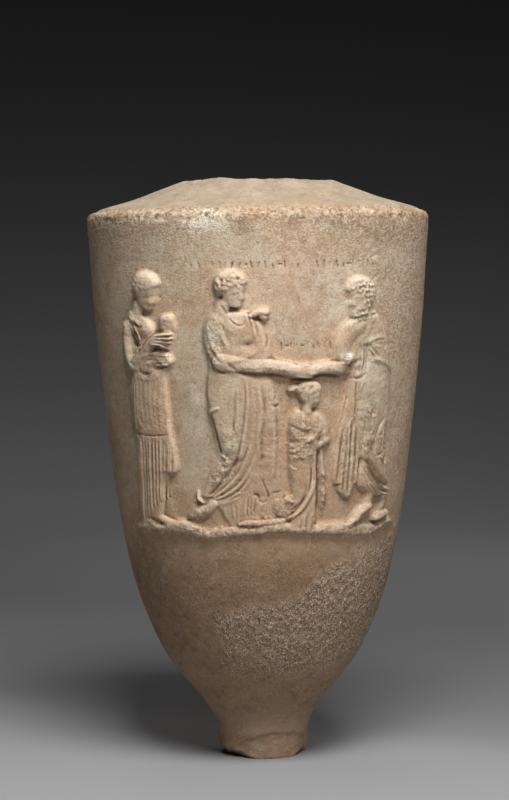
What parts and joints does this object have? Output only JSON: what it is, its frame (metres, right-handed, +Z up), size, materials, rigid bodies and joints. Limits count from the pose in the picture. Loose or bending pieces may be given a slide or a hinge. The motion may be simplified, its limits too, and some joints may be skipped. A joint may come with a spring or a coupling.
{
  "type": "lekythos grave marker",
  "caption": "Solid marble funerary lekythos with figures carved in relief, broken at neck and foot; stands as a grave marker.",
  "frame": {"origin": "middle of the flat underside of the broken foot, on the turned body's axis", "axes": "+Z up along the body's axis, -Y towards the viewer of the carved relief, +X to that viewer's right"},
  "size_m": [0.4419, 0.451, 0.7486],
  "materials": {
    "marble": "weathered and stained fine-grained white marble, matt, warm beige to brown"
  },
  "bodies": {
    "root": {"lekythos": "marble"}
  },
  "joints": []
}
